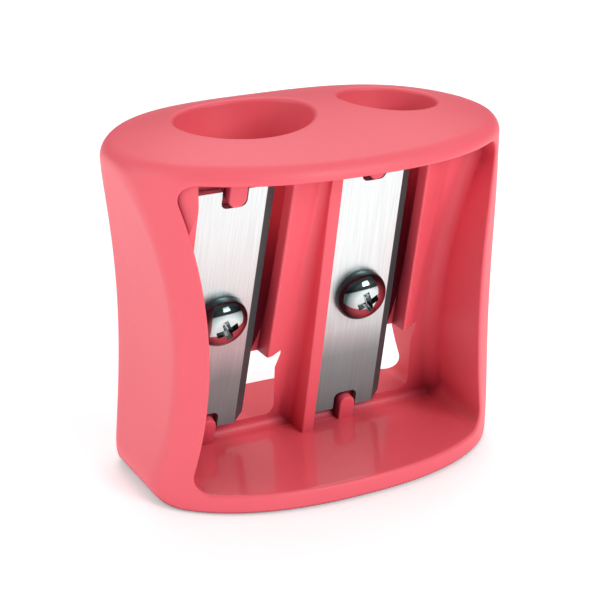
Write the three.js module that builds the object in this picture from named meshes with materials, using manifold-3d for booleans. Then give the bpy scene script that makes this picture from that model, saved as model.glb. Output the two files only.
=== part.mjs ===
// Two-hole pencil sharpener: one moulded plastic body, two blades and two blade screws.
// Millimetres, +Z up. X runs along the long side, the blades face -Y, and the origin lies on
// the resting face, under the middle of the body.

import * as THREE from 'three';
import { mergeVertices } from 'three/addons/utils/BufferGeometryUtils.js';
import Module from 'manifold-3d';

// ---------------------------------------------------------------- driving dimensions

// Outer body.
const BODY_LENGTH = 34;
const BODY_DEPTH_TOP = 22.8;
const BODY_DEPTH_BOTTOM = 21.4;
const BODY_HEIGHT = 30.5;
const PLAN_POWER_X = 2.35;
const PLAN_POWER_Y = 2.0;
const CROWN_DROP = 2.0;
const CROWN_POWER = 3;
const DOME_DROP = 1.9;
const RIM_FILLET = 1.2;
const BOTTOM_FILLET = 0.5;
const END_FILLET = 2.6;

// Finger scoops in the two ends.
const SCOOP_DEPTH = 2.5;
const WAIST_HEIGHT = 13.5;
const SCOOP_RADIUS = 44;

// Plates, walls and the bay that runs through from front to back.
const TOP_PLATE = 3.0;
const BOTTOM_PLATE = 1.8;
const END_WALL = 2.2;
const BAY_CORNER = 1.7;

// Blade, the same in both units.
const BLADE_LENGTH = 24;
const BLADE_WIDTH = 7.2;
const BLADE_THICKNESS = 0.55;
const BLADE_BEVEL = 0.9;
const BLADE_EDGE_LAND = 0.05;
const BLADE_END_CHAMFER = 0.6;
const NOTCH_WIDTH = 2.2;
const NOTCH_DEPTH = 1.6;
const NOTCH_CORNER = 0.5;
const SCREW_FROM_BLADE_TOP = 12.3;

// Blade screw.
const SCREW_HEAD_DIAMETER = 4.5;
const SCREW_HEAD_HEIGHT = 1.7;
const SCREW_HEAD_SKIRT = 0.35;
const SCREW_SHANK_DIAMETER = 2.4;
const SCREW_SHANK_LENGTH = 5.2;
const SCREW_TIP_LENGTH = 0.9;
const RECESS_WIDTH = 0.6;
const RECESS_SPAN = 2.5;
const RECESS_DEPTH = 0.9;

// Moulded details around each blade. The ribs stand a little behind the bay's front edge.
const RIB_SET_BACK = 0.4;
const BLADE_BELOW_PLATE = 1.1;
const WEB_THICKNESS = 1.5;
const RIB_THICKNESS = 1.1;
const RIB_PROUD = 2.1;
const RIB_BACK = 3.2;
const LEFT_RIB_IN_WALL = 0.42;
const CHIP_ROOM = 4.63;
const CONE_WALL = 1.2;
const CONE_END_BELOW_BLADE_TOP = 16.65;
const BORE_LIP = 0.35;
const SLOT_WIDTH = 1.1;
const SLOT_UNDERCUT = 0.5;
const GUARD_PROUD = 1.2;
const SILL_RISE = 1.2;
const WINDOW_RIGHT = 3.05;
const WINDOW_LEFT = 1.6;
const PEG_STANDS_PROUD = 0.6;
const BOSS_WALL = 1.0;
const BOSS_DEPTH = 0.4;

// Named clearances.
const SEAT_GAP = 0.05;
const BLADE_SIDE_GAP = 0.1;
const SCREW_HOLE_GAP = 0.1;
const BLADE_HOLE_GAP = 0.3;
const NOTCH_SIDE_GAP = 0.35;
const NOTCH_TIP_GAP = 0.3;
const HEAD_GAP = 0.05;

// Places that follow from the sizes above.
const WAIST_WIDTH = BODY_LENGTH - 2 * SCOOP_DEPTH;
const TOP_PLATE_UNDERSIDE = BODY_HEIGHT - TOP_PLATE;
const BLADE_TOP_HEIGHT = TOP_PLATE_UNDERSIDE - BLADE_BELOW_PLATE;
const CONE_END_HEIGHT = BLADE_TOP_HEIGHT - CONE_END_BELOW_BLADE_TOP;
const WINDOW_SILL = BOTTOM_PLATE + SILL_RISE;
const LEFT_RIB_FACE = END_WALL - WAIST_WIDTH / 2 - LEFT_RIB_IN_WALL;
const LARGE_AXIS = LEFT_RIB_FACE + BLADE_SIDE_GAP + BLADE_WIDTH;
const SMALL_AXIS = LARGE_AXIS + CHIP_ROOM + RIB_THICKNESS + BLADE_SIDE_GAP + BLADE_WIDTH;

// The two sharpening units. "tilt" is half the cone's angle, so the blade lies along the cone.
// "apexDrop" is how far the cone's apex lies below the blade's top.
const UNITS = [{
  name: 'large', axisX: LARGE_AXIS, boreDiameter: 11.1, tilt: 16.8,
  apexDrop: 18.18, guardFoot: [3, 4.2],
}, {
  name: 'small', axisX: SMALL_AXIS, boreDiameter: 8.2, tilt: 11.9,
  apexDrop: 19.37, guardFoot: [2.65, 4],
}];

// How finely round shapes are faceted, and how far cutters run past what they cut.
const PLAN_FACETS = 96;
const ARC_FACETS = 20;
const CONE_FACETS = 64;
const SCREW_FACETS = 36;
const FILLET_FACETS = 5;
const DOME_RINGS = 6;
const OVERSHOOT = 3;
const EMBED = 0.5;
const MERGE_DISTANCE = 1e-5;
const ON_AXIS = 1e-9;

const PLASTIC = { color: 0xf0555f, roughness: 0.38, metalness: 0 };
const STEEL = { color: 0xc9ccce, roughness: 0.3, metalness: 1 };
const CHROME = { color: 0xe4e6e8, roughness: 0.1, metalness: 1 };

// ---------------------------------------------------------------- solids

const wasm = await Module();
wasm.setup();

// Turns a closed three.js geometry into a solid, without its pole slivers.
function solid(geometry) {
  geometry.deleteAttribute('normal');
  geometry.deleteAttribute('uv');
  const merged = mergeVertices(geometry, MERGE_DISTANCE);
  const kept = [];
  const index = merged.index.array;
  for (let i = 0; i < index.length; i += 3) {
    const [a, b, c] = [index[i], index[i + 1], index[i + 2]];
    if (a !== b && b !== c && c !== a) kept.push(a, b, c);
  }
  return new wasm.Manifold(new wasm.Mesh({
    numProp: 3,
    vertProperties: new Float32Array(merged.attributes.position.array),
    triVerts: new Uint32Array(kept),
  }));
}

function geometryOf(manifold) {
  const mesh = manifold.getMesh();
  const geometry = new THREE.BufferGeometry();
  geometry.setAttribute('position', new THREE.BufferAttribute(mesh.vertProperties, mesh.numProp));
  geometry.setIndex(new THREE.BufferAttribute(mesh.triVerts, 1));
  return geometry;
}

function meshOf(name, manifold, finish) {
  const geometry = geometryOf(manifold).toNonIndexed();
  geometry.computeVertexNormals();
  const mesh = new THREE.Mesh(geometry, new THREE.MeshStandardMaterial(finish));
  mesh.name = name;
  return mesh;
}

// A box between two corners, placed by an optional matrix.
function box(low, high, matrix = new THREE.Matrix4()) {
  const size = high.map((value, i) => value - low[i]);
  const geometry = new THREE.BoxGeometry(...size);
  geometry.translate(...low.map((value, i) => value + size[i] / 2));
  return solid(geometry.applyMatrix4(matrix));
}

// An outline in X and Z, extruded along Y between two depths.
function prismY(shape, front, back) {
  const geometry = new THREE.ExtrudeGeometry(shape, {
    depth: back - front, bevelEnabled: false, curveSegments: ARC_FACETS,
  });
  geometry.rotateX(Math.PI / 2);
  geometry.translate(0, back, 0);
  return solid(geometry);
}

// A body of revolution about Z from points of radius and height.
function turned(points, facets) {
  const profile = points.map(([radius, height]) => new THREE.Vector2(radius, height));
  const geometry = new THREE.LatheGeometry(profile, facets);
  geometry.rotateX(Math.PI / 2);
  return solid(geometry);
}

// ---------------------------------------------------------------- outer body

// Half the body's width at the scoop's surface, moved inwards by "inset" along its normal.
function scoopHalfWidth(height, inset) {
  const centre = WAIST_WIDTH / 2 + SCOOP_RADIUS;
  const radius = SCOOP_RADIUS + inset;
  return centre - Math.sqrt(radius ** 2 - (height - WAIST_HEIGHT) ** 2);
}

function planDepthHalf(height) {
  const share = height / BODY_HEIGHT;
  return (BODY_DEPTH_BOTTOM * (1 - share) + BODY_DEPTH_TOP * share) / 2;
}

function topHeight(x, y) {
  const crown = CROWN_DROP * Math.abs((2 * x) / BODY_LENGTH) ** CROWN_POWER;
  const dome = DOME_DROP * ((2 * y) / BODY_DEPTH_TOP) ** 2;
  return BODY_HEIGHT - crown - dome;
}

// Rows of the drum from the underside's centre, up the side, over the rim to the dome's centre.
// A row has an inset from the plan's edge, and a height from the base or a drop from the dome.
function drumRows() {
  const rows = [{ centre: true, height: 0 }];
  for (let i = 0; i <= FILLET_FACETS; i += 1) {
    const turn = (i / FILLET_FACETS) * (Math.PI / 2);
    const inset = BOTTOM_FILLET * (1 - Math.sin(turn));
    rows.push({ inset, height: BOTTOM_FILLET * (1 - Math.cos(turn)) });
  }
  for (let i = 0; i <= FILLET_FACETS; i += 1) {
    const turn = (i / FILLET_FACETS) * (Math.PI / 2);
    const inset = RIM_FILLET * (1 - Math.cos(turn));
    rows.push({ inset, drop: RIM_FILLET * (1 - Math.sin(turn)) });
  }
  for (let i = 1; i < DOME_RINGS; i += 1) rows.push({ share: 1 - i / DOME_RINGS, drop: 0 });
  rows.push({ centre: true, drop: 0 });
  return rows;
}

// The superelliptic drum with its domed top, before scoops and bay are cut.
function drum() {
  const rows = drumRows();
  const profile = rows.map((row, i) => new THREE.Vector2(row.centre ? 0 : 1, i));
  const geometry = new THREE.LatheGeometry(profile, PLAN_FACETS);
  const position = geometry.attributes.position;
  for (let i = 0; i < position.count; i += 1) {
    const row = rows[Math.round(position.getY(i))];
    const [c, s] = [position.getZ(i), position.getX(i)];
    const inset = row.inset ?? RIM_FILLET;
    const share = row.centre ? 0 : (row.share ?? 1);
    const reach = (half, value, power) => (
      share * (half - inset) * Math.sign(value) * Math.abs(value) ** (2 / power));
    const x = reach(BODY_LENGTH / 2, Math.abs(c) < ON_AXIS ? 0 : c, PLAN_POWER_X);
    const halfDepth = planDepthHalf(row.height ?? BODY_HEIGHT);
    const y = reach(halfDepth, Math.abs(s) < ON_AXIS ? 0 : s, PLAN_POWER_Y);
    position.setXYZ(i, x, y, row.height ?? topHeight(x, y) - row.drop);
  }
  return solid(geometry);
}

// The front outline of the body: scooped ends and rounded lower corners, open above the dome.
function endOutline() {
  const top = BODY_HEIGHT + OVERSHOOT;
  const steps = ARC_FACETS;
  const right = [];
  for (let i = 0; i <= steps; i += 1) {
    const height = END_FILLET + ((top - END_FILLET) * i) / steps;
    right.push(new THREE.Vector2(scoopHalfWidth(height, 0), height));
  }
  const start = right[0];
  const shape = new THREE.Shape();
  shape.moveTo(-start.x + END_FILLET, 0);
  shape.lineTo(start.x - END_FILLET, 0);
  shape.absarc(start.x - END_FILLET, END_FILLET, END_FILLET, -Math.PI / 2, 0, false);
  right.slice(1).forEach((p) => shape.lineTo(p.x, p.y));
  [...right].reverse().slice(0, -1).forEach((p) => shape.lineTo(-p.x, p.y));
  shape.lineTo(-start.x, END_FILLET);
  shape.absarc(-start.x + END_FILLET, END_FILLET, END_FILLET, Math.PI, 1.5 * Math.PI, false);
  return shape;
}

// The outline of the bay, parallel to the scooped ends, grown outwards by "grow".
function bayOutline(grow) {
  const low = BOTTOM_PLATE - grow;
  const high = TOP_PLATE_UNDERSIDE + grow;
  const inset = END_WALL - grow;
  const corner = BAY_CORNER;
  const steps = ARC_FACETS;
  const right = [];
  for (let i = 0; i <= steps; i += 1) {
    const height = low + corner + ((high - low - 2 * corner) * i) / steps;
    right.push(new THREE.Vector2(scoopHalfWidth(height, inset), height));
  }
  const first = right[0];
  const last = right[steps];
  const shape = new THREE.Shape();
  shape.moveTo(-first.x + corner, low);
  shape.lineTo(first.x - corner, low);
  shape.absarc(first.x - corner, low + corner, corner, -Math.PI / 2, 0, false);
  right.slice(1).forEach((p) => shape.lineTo(p.x, p.y));
  shape.absarc(last.x - corner, high - corner, corner, 0, Math.PI / 2, false);
  shape.lineTo(-last.x + corner, high);
  shape.absarc(-last.x + corner, high - corner, corner, Math.PI / 2, Math.PI, false);
  [...right].reverse().slice(1).forEach((p) => shape.lineTo(-p.x, p.y));
  shape.absarc(-first.x + corner, low + corner, corner, Math.PI, 1.5 * Math.PI, false);
  return shape;
}

// ---------------------------------------------------------------- sharpening units

const radians = THREE.MathUtils.degToRad;

function apexHeight(unit) {
  return BLADE_TOP_HEIGHT - unit.apexDrop;
}

// The right face of the rib that the blade's blunt side leans on.
function ribFace(unit) {
  return unit.axisX - BLADE_WIDTH - BLADE_SIDE_GAP;
}

// The frame of a unit's blade: X across, -Y out of the seat, Z up along the cutting edge,
// with its origin at the cone's apex.
function unitMatrix(unit) {
  const matrix = new THREE.Matrix4().makeRotationX(radians(unit.tilt));
  return matrix.setPosition(unit.axisX, 0, apexHeight(unit));
}

// A height in the body, as a distance along the unit's seat line from the apex.
function along(unit, height) {
  return (height - apexHeight(unit)) / Math.cos(radians(unit.tilt));
}

function bladeTop(unit) {
  return along(unit, BLADE_TOP_HEIGHT);
}

// The pencil's way in: a lipped bore that runs down into the sharpening cone.
function pencilHole(unit, wall) {
  const radius = unit.boreDiameter / 2;
  const slope = Math.tan(radians(unit.tilt));
  const coneTop = apexHeight(unit) + radius / slope;
  const points = [[0, apexHeight(unit) - wall / slope], [radius + wall, coneTop]];
  if (wall > 0) {
    points.push([radius + wall, TOP_PLATE_UNDERSIDE + EMBED], [0, TOP_PLATE_UNDERSIDE + EMBED]);
  } else {
    const rim = topHeight(unit.axisX, 0);
    points.push([radius, rim - BORE_LIP], [radius + BORE_LIP, rim], [radius + BORE_LIP, rim + OVERSHOOT]);
    points.push([0, rim + OVERSHOOT]);
  }
  const cone = turned(points, CONE_FACETS);
  return cone.translate([unit.axisX, 0, 0]);
}

// The shell around the cone, behind the seat and above the cone's open end.
function coneShell(unit, matrix) {
  const reach = BODY_HEIGHT;
  const behind = box([-reach, 0, -reach], [reach, reach, 2 * reach], matrix);
  const above = box([-reach, -reach, CONE_END_HEIGHT], [reach, reach, 2 * reach]);
  return pencilHole(unit, CONE_WALL).intersect(behind).intersect(above);
}

// The guard beside the chip slot: a wedge from the slot's wall down to the seat.
function guard(unit, matrix) {
  const [footLow, footHigh] = unit.guardFoot;
  const low = along(unit, CONE_END_HEIGHT) - OVERSHOOT;
  const high = along(unit, TOP_PLATE_UNDERSIDE) + OVERSHOOT;
  const shape = new THREE.Shape();
  shape.moveTo(SLOT_WIDTH, EMBED);
  shape.lineTo(SLOT_WIDTH, -GUARD_PROUD);
  shape.lineTo(footLow, 0);
  shape.lineTo(footLow, EMBED);
  const geometry = new THREE.ExtrudeGeometry(shape, { depth: high - low, bevelEnabled: false });
  const position = geometry.attributes.position;
  for (let i = 0; i < position.count; i += 1) {
    if (position.getX(i) > SLOT_WIDTH + EMBED && position.getZ(i) > 0) position.setX(i, footHigh);
  }
  geometry.translate(0, 0, low);
  const above = box([-BODY_LENGTH, -BODY_LENGTH, CONE_END_HEIGHT], [BODY_LENGTH, BODY_LENGTH, BODY_HEIGHT]);
  return solid(geometry.applyMatrix4(matrix)).intersect(above);
}

// A locating peg with a rounded tip that reaches into the blade's notch.
function peg(unit, matrix, tip, root) {
  const radius = NOTCH_WIDTH / 2 - NOTCH_SIDE_GAP;
  const down = root > tip ? 1 : -1;
  const shape = new THREE.Shape();
  const centre = tip + down * radius;
  shape.moveTo(-radius, root);
  shape.lineTo(-radius, centre);
  shape.absarc(0, centre, radius, Math.PI, down > 0 ? 2 * Math.PI : 0, down < 0);
  shape.lineTo(radius, root);
  const solidPeg = prismY(shape, -BLADE_THICKNESS - PEG_STANDS_PROUD, EMBED);
  const shift = new THREE.Matrix4().makeTranslation(-BLADE_WIDTH / 2, 0, 0);
  return solidPeg.transform(matrix.clone().multiply(shift).elements);
}

// The boss behind the seat that takes the blade screw.
function screwBoss(unit, matrix) {
  const radius = SCREW_SHANK_DIAMETER / 2 + BOSS_WALL;
  const length = SCREW_SHANK_LENGTH + BOSS_DEPTH;
  const geometry = new THREE.CylinderGeometry(radius, radius, length, SCREW_FACETS);
  geometry.translate(-BLADE_WIDTH / 2, length / 2, bladeTop(unit) - SCREW_FROM_BLADE_TOP);
  return solid(geometry.applyMatrix4(matrix));
}

// Everything moulded inside the bay for one unit: web, rib, cone shell, guard, pegs and boss.
// The rib starts at ribLeft and the web ends at webRight, both across the whole body.
function insert(unit, ribLeft, webRight) {
  const matrix = unitMatrix(unit);
  const low = along(unit, 0) - OVERSHOOT;
  const high = along(unit, BODY_HEIGHT);
  const ribRight = ribFace(unit) - unit.axisX;
  const top = bladeTop(unit);
  const notchTip = NOTCH_DEPTH - NOTCH_TIP_GAP;
  const web = box([ribRight - EMBED, 0, low], [webRight - unit.axisX, WEB_THICKNESS, high], matrix);
  const rib = box([ribLeft - unit.axisX, -RIB_PROUD, low], [ribRight, RIB_BACK, high], matrix);
  const window = box(
    [unit.axisX - WINDOW_LEFT, -BODY_DEPTH_TOP, WINDOW_SILL],
    [unit.axisX + WINDOW_RIGHT, BODY_DEPTH_TOP, CONE_END_HEIGHT],
  );
  const slot = box([-SLOT_UNDERCUT, -OVERSHOOT, 0], [SLOT_WIDTH, WEB_THICKNESS / 2, high], matrix);
  return web.add(coneShell(unit, matrix))
    .add(guard(unit, matrix))
    .subtract(window)
    .subtract(slot)
    .add(rib)
    .add(screwBoss(unit, matrix))
    .add(peg(unit, matrix, top - notchTip, high))
    .add(peg(unit, matrix, top - BLADE_LENGTH + notchTip, low))
    .subtract(pencilHole(unit, 0));
}

// Room for the blade and its screw in whatever stands beside them.
function bladePocket(unit) {
  const matrix = unitMatrix(unit);
  const top = bladeTop(unit);
  const pocket = box(
    [-BLADE_WIDTH - BLADE_SIDE_GAP, -BLADE_THICKNESS - 2 * SEAT_GAP, top - BLADE_LENGTH - BLADE_SIDE_GAP],
    [0, 0, top + BLADE_SIDE_GAP],
    matrix,
  );
  const pegs = peg(unit, matrix, top - NOTCH_DEPTH + NOTCH_TIP_GAP, along(unit, BODY_HEIGHT))
    .add(peg(unit, matrix, top - BLADE_LENGTH + NOTCH_DEPTH - NOTCH_TIP_GAP, along(unit, 0)));
  const radius = SCREW_SHANK_DIAMETER / 2 + SCREW_HOLE_GAP;
  const hole = new THREE.CylinderGeometry(radius, radius, SCREW_SHANK_LENGTH + 2 * EMBED, SCREW_FACETS);
  hole.translate(-BLADE_WIDTH / 2, SCREW_SHANK_LENGTH / 2 - EMBED, top - SCREW_FROM_BLADE_TOP);
  return pocket.subtract(pegs).add(solid(hole.applyMatrix4(matrix)));
}

// ---------------------------------------------------------------- the pieces

function mouldedBody() {
  const [large, small] = UNITS;
  const reach = BODY_DEPTH_TOP;
  const outer = drum().intersect(prismY(endOutline(), -reach, reach));
  const bay = prismY(bayOutline(0), -reach, reach);
  const bayGrown = prismY(bayOutline(EMBED), -reach, reach);
  const divider = ribFace(small) - RIB_THICKNESS;
  const inserts = insert(large, -BODY_LENGTH / 2, divider + RIB_THICKNESS / 2)
    .add(insert(small, divider, BODY_LENGTH / 2));
  const setBack = outer.scale([1, 1 - 2 * RIB_SET_BACK / BODY_DEPTH_TOP, 1]);
  let body = outer.subtract(bay).add(inserts.intersect(bayGrown).intersect(setBack));
  UNITS.forEach((unit) => {
    body = body.subtract(pencilHole(unit, 0)).subtract(bladePocket(unit));
  });
  return meshOf('moulded_body', body, PLASTIC);
}

// The blade in its unit's frame: the cutting edge along X = 0, the flat back on the seat.
function blade(unit) {
  const top = bladeTop(unit);
  const bottom = top - BLADE_LENGTH;
  const middle = -BLADE_WIDTH / 2;
  const half = NOTCH_WIDTH / 2;
  const r = NOTCH_CORNER;
  const shape = new THREE.Shape();
  shape.moveTo(-BLADE_WIDTH, bottom);
  shape.lineTo(middle - half, bottom);
  shape.lineTo(middle - half, bottom + NOTCH_DEPTH - r);
  shape.absarc(middle - half + r, bottom + NOTCH_DEPTH - r, r, Math.PI, Math.PI / 2, true);
  shape.absarc(middle + half - r, bottom + NOTCH_DEPTH - r, r, Math.PI / 2, 0, true);
  shape.lineTo(middle + half, bottom);
  shape.lineTo(-BLADE_BEVEL, bottom);
  shape.lineTo(0, bottom + BLADE_END_CHAMFER);
  shape.lineTo(0, top - BLADE_END_CHAMFER);
  shape.lineTo(-BLADE_BEVEL, top);
  shape.lineTo(middle + half, top);
  shape.absarc(middle + half - r, top - NOTCH_DEPTH + r, r, 0, -Math.PI / 2, true);
  shape.absarc(middle - half + r, top - NOTCH_DEPTH + r, r, -Math.PI / 2, -Math.PI, true);
  shape.lineTo(middle - half, top);
  shape.lineTo(-BLADE_WIDTH, top);
  const hole = new THREE.Path();
  const holeRadius = SCREW_SHANK_DIAMETER / 2 + BLADE_HOLE_GAP;
  hole.absarc(middle, top - SCREW_FROM_BLADE_TOP, holeRadius, 0, 2 * Math.PI, true);
  shape.holes.push(hole);
  const ground = new THREE.Shape();
  ground.moveTo(-BLADE_BEVEL, -BLADE_THICKNESS);
  ground.lineTo(OVERSHOOT, -BLADE_THICKNESS - OVERSHOOT);
  ground.lineTo(OVERSHOOT, -BLADE_EDGE_LAND);
  ground.lineTo(0, -BLADE_EDGE_LAND);
  const wedge = new THREE.ExtrudeGeometry(ground, { depth: 2 * BODY_HEIGHT, bevelEnabled: false });
  wedge.translate(0, 0, -BODY_HEIGHT);
  const plate = prismY(shape, -BLADE_THICKNESS, 0).subtract(solid(wedge));
  const mesh = meshOf(`blade_${unit.name}`, plate, STEEL);
  mesh.position.y = -SEAT_GAP;
  return mesh;
}

// The screw in its unit's frame: a domed head with a cross recess, and a pointed shank.
function screw(unit) {
  const headRadius = SCREW_HEAD_DIAMETER / 2;
  const shankRadius = SCREW_SHANK_DIAMETER / 2;
  const rise = SCREW_HEAD_HEIGHT - SCREW_HEAD_SKIRT;
  const points = [[0, -SCREW_SHANK_LENGTH], [shankRadius / 2, -SCREW_SHANK_LENGTH]];
  points.push([shankRadius, SCREW_TIP_LENGTH - SCREW_SHANK_LENGTH], [shankRadius, 0], [headRadius, 0]);
  for (let i = 0; i <= FILLET_FACETS; i += 1) {
    const turn = (i / FILLET_FACETS) * (Math.PI / 2);
    points.push([headRadius * Math.cos(turn), SCREW_HEAD_SKIRT + rise * Math.sin(turn)]);
  }
  points[points.length - 1][0] = 0;
  const floor = SCREW_HEAD_HEIGHT - RECESS_DEPTH;
  const [w, s] = [RECESS_WIDTH / 2, RECESS_SPAN / 2];
  const cross = box([-s, -w, floor], [s, w, OVERSHOOT]).add(box([-w, -s, floor], [w, s, OVERSHOOT]));
  const mesh = meshOf(`screw_${unit.name}`, turned(points, SCREW_FACETS).subtract(cross), CHROME);
  mesh.rotation.x = Math.PI / 2;
  const front = -BLADE_THICKNESS - SEAT_GAP - HEAD_GAP;
  mesh.position.set(-BLADE_WIDTH / 2, front, bladeTop(unit) - SCREW_FROM_BLADE_TOP);
  return mesh;
}

const sharpener = new THREE.Group();
sharpener.add(mouldedBody());
UNITS.forEach((unit) => {
  const group = new THREE.Group();
  group.applyMatrix4(unitMatrix(unit));
  group.add(blade(unit), screw(unit));
  sharpener.add(group);
});

export default sharpener;
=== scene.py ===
# %% [markdown]
# # A two-hole pencil sharpener
#
# The sharpener is one coral plastic moulding with two steel blades, each held by one chromed
# screw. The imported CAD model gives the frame: its sizes and places are never changed here. This
# script builds finer pieces in the same places, gives every surface its finish, and sets the
# camera and the lights.

# %% Load the frame
import math

import bmesh
import bpy
import numpy as np
from mathutils import Matrix, Vector


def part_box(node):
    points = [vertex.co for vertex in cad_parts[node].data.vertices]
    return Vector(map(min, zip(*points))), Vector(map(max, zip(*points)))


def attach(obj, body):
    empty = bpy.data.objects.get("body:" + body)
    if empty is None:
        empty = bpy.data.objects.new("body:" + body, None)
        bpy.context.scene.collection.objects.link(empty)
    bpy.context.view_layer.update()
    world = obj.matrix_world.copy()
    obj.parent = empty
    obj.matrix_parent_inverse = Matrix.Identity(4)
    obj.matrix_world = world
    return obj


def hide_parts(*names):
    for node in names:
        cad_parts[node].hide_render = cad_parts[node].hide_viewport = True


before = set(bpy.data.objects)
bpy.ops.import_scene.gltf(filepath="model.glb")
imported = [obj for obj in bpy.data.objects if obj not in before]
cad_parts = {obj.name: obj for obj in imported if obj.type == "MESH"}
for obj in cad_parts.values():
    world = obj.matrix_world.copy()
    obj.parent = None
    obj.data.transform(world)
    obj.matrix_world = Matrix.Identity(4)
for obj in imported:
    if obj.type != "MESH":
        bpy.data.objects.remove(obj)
bpy.context.view_layer.update()
MM = 0.001

# %% [markdown]
# ## Sizes
#
# A moulding is drawn from a few sizes: the plan, the waist of the scooped ends, the plates and
# the walls. They are the CAD part's own sizes, in millimetres. What the frame can tell is read
# from it, so the finer pieces land where the CAD says.

# %% Driving sizes, in millimetres
# The height stays a hair under the CAD part's 30.5, because its facets stop just short of it.
LENGTH, HEIGHT = 34.0, 30.498
DEPTH_TOP, DEPTH_BOTTOM = 22.8, 21.4
PLAN_POWER_X, PLAN_POWER_Y = 2.35, 2.0
CROWN_DROP, CROWN_POWER, DOME_DROP = 2.0, 3, 1.9
WAIST, WAIST_HEIGHT, SCOOP_RADIUS = 29.0, 13.5, 44.0
PLATE_UNDERSIDE, FLOOR, END_WALL, BAY_CORNER = 27.5, 1.8, 2.2, 1.7
RIM_FILLET, END_FILLET, RIDGE_FILLET, FOOT_FILLET, BAY_FILLET = 1.0, 2.6, 0.4, 0.45, 0.3
BLADE_TOP, BLADE_LENGTH, BLADE_WIDTH, BLADE_THICKNESS = 26.4, 24.0, 7.2, 0.55
CONE_WALL, CONE_END, SLOT, GUARD_PROUD = 1.2, 9.75, 1.1, 1.2
WEB, RIB, RIB_PROUD, RIB_BACK = 1.5, 1.1, 2.1, 3.2


class Unit:
    """One sharpening unit: its hole, its cone and the tilted frame that its blade lies in."""

    def __init__(self, name, bore, tilt, apex, foot):
        blade_low, blade_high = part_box("blade_" + name)
        self.name = name
        self.x = blade_high.x / MM
        self.radius = bore / 2
        self.tilt = math.radians(tilt)
        self.apex = apex
        self.foot = foot
        turn = Matrix.Rotation(self.tilt, 4, "X")
        self.matrix = Matrix.Translation((self.x, 0, apex)) @ turn

    def along(self, height):
        """A height in the body as a distance up the seat from the cone's apex."""
        return (height - self.apex) / math.cos(self.tilt)


LARGE = Unit("large", 11.1, 16.8, 8.22, (3.0, 4.2))
SMALL = Unit("small", 8.2, 11.9, 7.03, (2.65, 4.0))
UNITS = (LARGE, SMALL)
print("hole axes at x =", [round(u.x, 2) for u in UNITS], "mm")

# %% [markdown]
# ## Camera
#
# A small product is shot with a long lens from a little above. The camera stands in front of the
# blades, to the left, and looks down on the domed top, so both holes and the open bay show.

# %% Camera
AZIMUTH, ELEVATION, DISTANCE, FOCAL = -27.64, 21.34, 137.94, 98.66
AIM = Vector((0, 0, 13.61))


def add_camera():
    azimuth, elevation = math.radians(AZIMUTH), math.radians(ELEVATION)
    back = Vector((math.sin(azimuth) * math.cos(elevation),
                   -math.cos(azimuth) * math.cos(elevation), math.sin(elevation)))
    data = bpy.data.cameras.new("camera")
    data.lens = FOCAL
    data.sensor_width = 36
    data.shift_x, data.shift_y = -0.0077, -0.0007
    data.clip_start, data.clip_end = 0.01, 5
    camera = bpy.data.objects.new("camera", data)
    camera.location = (AIM + back * DISTANCE) * MM
    camera.rotation_mode = "QUATERNION"
    camera.rotation_quaternion = (-back).to_track_quat("-Z", "Y")
    bpy.context.scene.collection.objects.link(camera)
    bpy.context.scene.camera = camera
    print("camera", [round(c, 4) for c in camera.location], "m")


add_camera()

# %% [markdown]
# ## The shell as one smooth ring
#
# Seen from the front, the moulding is a ring: a top plate, a bottom plate and two end walls
# around an open bay. Cutting such a shape from blocks leaves hard edges that are difficult to
# round, and a moulding has none. So a ring is spun with the bmesh operators and its points are
# slid out to the moulding's surface. That surface is written as one signed distance, in which
# every pair of faces meets in a round of its own radius.

# %% The surface of the shell as a distance
def rounded_max(a, b, radius):
    """The overlap of two half-spaces, with their shared edge rounded."""
    outside = np.hypot(np.maximum(a + radius, 0), np.maximum(b + radius, 0))
    return np.minimum(-radius, np.maximum(a, b)) + outside


def top_height(x, y):
    crown = CROWN_DROP * np.abs(2 * x / LENGTH) ** CROWN_POWER
    return HEIGHT - crown - DOME_DROP * (2 * y / DEPTH_TOP) ** 2


def plan_distance(x, y, z):
    share = z / HEIGHT
    half_depth = (DEPTH_BOTTOM * (1 - share) + DEPTH_TOP * share) / 2
    u, v = np.abs(2 * x / LENGTH), np.abs(y / half_depth)
    value = u ** PLAN_POWER_X + v ** PLAN_POWER_Y - 1
    slope_x = PLAN_POWER_X * u ** (PLAN_POWER_X - 1) * 2 / LENGTH
    slope_y = PLAN_POWER_Y * v ** (PLAN_POWER_Y - 1) / half_depth
    return value / np.maximum(np.hypot(slope_x, slope_y), 0.02)


def scoop_distance(x, z, inset):
    centre = WAIST / 2 + SCOOP_RADIUS
    return SCOOP_RADIUS + inset - np.hypot(centre - np.abs(x), z - WAIST_HEIGHT)


def bay_distance(x, z):
    """Distance to the bay's outline, negative where the bay is open."""
    sides = scoop_distance(x, z, END_WALL)
    plates = np.maximum(z - PLATE_UNDERSIDE, FLOOR - z)
    return rounded_max(sides, plates, BAY_CORNER)


def shell_distance(x, y, z):
    """Distance to the shell's surface, negative inside the plastic."""
    top = (z - top_height(x, y)) * 0.97
    drum = rounded_max(rounded_max(plan_distance(x, y, z), top, RIM_FILLET), -z, FOOT_FILLET)
    ends = rounded_max(scoop_distance(x, z, 0), -z, END_FILLET)
    outside = rounded_max(drum, ends, RIDGE_FILLET)
    return rounded_max(outside, -bay_distance(x, z), BAY_FILLET)


# %% [markdown]
# The ring is spun from a small circle. Its points keep their station round the bay, and slide
# along their section until the distance is nought. They are spread so that tight rounds get as
# many points as long faces, which keeps the highlights on the rounds clean.

# %% Spin the ring and slide its points to the surface
STATIONS, SECTION = 432, 112
BAY_CENTRE = (FLOOR + PLATE_UNDERSIDE) / 2
FINE = 900


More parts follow.
